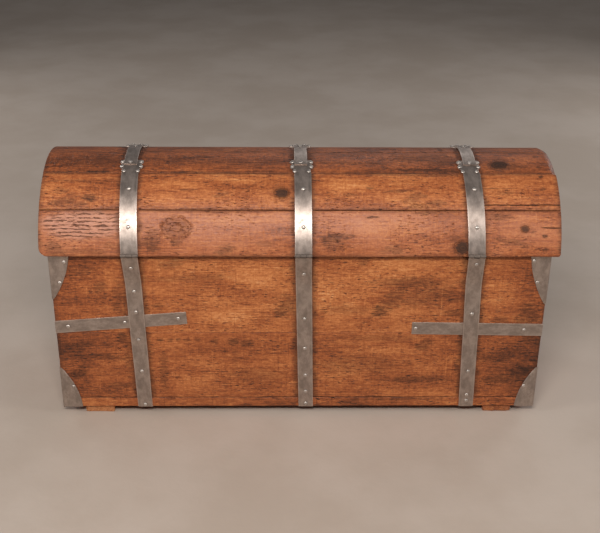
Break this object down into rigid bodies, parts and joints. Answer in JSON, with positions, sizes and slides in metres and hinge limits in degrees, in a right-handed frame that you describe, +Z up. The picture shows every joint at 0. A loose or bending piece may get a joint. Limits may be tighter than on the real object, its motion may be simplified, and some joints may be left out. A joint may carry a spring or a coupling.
{
  "type": "domed wooden chest",
  "caption": "Pine chest with a coopered dome lid on strap hinges, riveted iron straps and corner irons, a hasp and staple, and drop handles at its ends.",
  "frame": {"origin": "on the floor, under the middle of the box", "axes": "+X along the chest to the right as seen from the hinge side, +Y from the hinge side to the opening side, +Z up"},
  "size_m": [1.208, 0.4553, 0.6214],
  "materials": {
    "lid_wood": "worn reddish-brown stain and wax on pine",
    "box_wood": "worn reddish-brown stain and wax on pine",
    "skid_wood": "sawn pine, lightly stained",
    "strap_iron": "tarnished satin grey",
    "rivet_iron": "rubbed bright",
    "nail_iron": "dark, rusted",
    "forged_iron": "forged, dull"
  },
  "bodies": {
    "box": {"bottom_board_hinge_side": "box_wood", "bottom_board_middle": "box_wood", "bottom_board_opening_side": "box_wood", "box_front_strap_left": "strap_iron", "box_front_strap_middle": "strap_iron", "box_front_strap_right": "strap_iron", "box_hinge_strap_left": "strap_iron", "box_hinge_strap_middle": "strap_iron", "box_hinge_strap_right": "strap_iron", "box_nails": "nail_iron", "box_rivets": "rivet_iron", "corner_band_left_hinge_side": "strap_iron", "corner_band_left_opening_side": "strap_iron", "corner_band_right_hinge_side": "strap_iron", "corner_band_right_opening_side": "strap_iron", "hinge_pins": "forged_iron", "hinge_side_lower_plank": "box_wood", "hinge_side_upper_plank": "box_wood", "left_end_board": "box_wood", "left_handle_plate": "strap_iron", "left_skid": "skid_wood", "lower_iron_left_hinge_side": "strap_iron", "lower_iron_left_opening_side": "strap_iron", "lower_iron_right_hinge_side": "strap_iron", "lower_iron_right_opening_side": "strap_iron", "opening_side_lower_plank": "box_wood", "opening_side_upper_plank": "box_wood", "right_end_board": "box_wood", "right_handle_plate": "strap_iron", "right_skid": "skid_wood", "staple": "forged_iron", "upper_iron_left_hinge_side": "strap_iron", "upper_iron_left_opening_side": "strap_iron", "upper_iron_right_hinge_side": "strap_iron", "upper_iron_right_opening_side": "strap_iron"},
    "lid": {"crown_strap_left": "strap_iron", "crown_strap_middle": "strap_iron", "crown_strap_right": "strap_iron", "hasp_pin": "forged_iron", "lid_crown_stave_hinge_side": "lid_wood", "lid_crown_stave_opening_side": "lid_wood", "lid_edge_stave_hinge_side": "lid_wood", "lid_edge_stave_opening_side": "lid_wood", "lid_front_strap_left": "strap_iron", "lid_front_strap_middle": "strap_iron", "lid_front_strap_right": "strap_iron", "lid_hinge_strap_left": "strap_iron", "lid_hinge_strap_middle": "strap_iron", "lid_hinge_strap_right": "strap_iron", "lid_left_end_board": "lid_wood", "lid_nails": "nail_iron", "lid_right_end_board": "lid_wood", "lid_rivets": "rivet_iron", "lid_shoulder_stave_hinge_side": "lid_wood", "lid_shoulder_stave_opening_side": "lid_wood"},
    "hasp": {"hasp": "strap_iron"},
    "left_bail": {"left_bail": "forged_iron"},
    "right_bail": {"right_bail": "forged_iron"}
  },
  "joints": [
    {"name": "lid_hinge", "type": "hinge", "parent": "box", "child": "lid", "pos_m": [0, -0.21976, 0.443], "axis": [1, 0, 0], "range_deg": [0, 105]},
    {"name": "hasp_hinge", "type": "hinge", "parent": "lid", "child": "hasp", "pos_m": [0.006, 0.21976, 0.443], "axis": [1, 0, 0], "range_deg": [-197, 0]},
    {"name": "left_bail_hinge", "type": "hinge", "parent": "box", "child": "left_bail", "pos_m": [-0.595, 0, 0.285], "axis": [0, 1, 0], "range_deg": [0, 180]},
    {"name": "right_bail_hinge", "type": "hinge", "parent": "box", "child": "right_bail", "pos_m": [0.595, 0, 0.285], "axis": [0, -1, 0], "range_deg": [0, 180]}
  ]
}
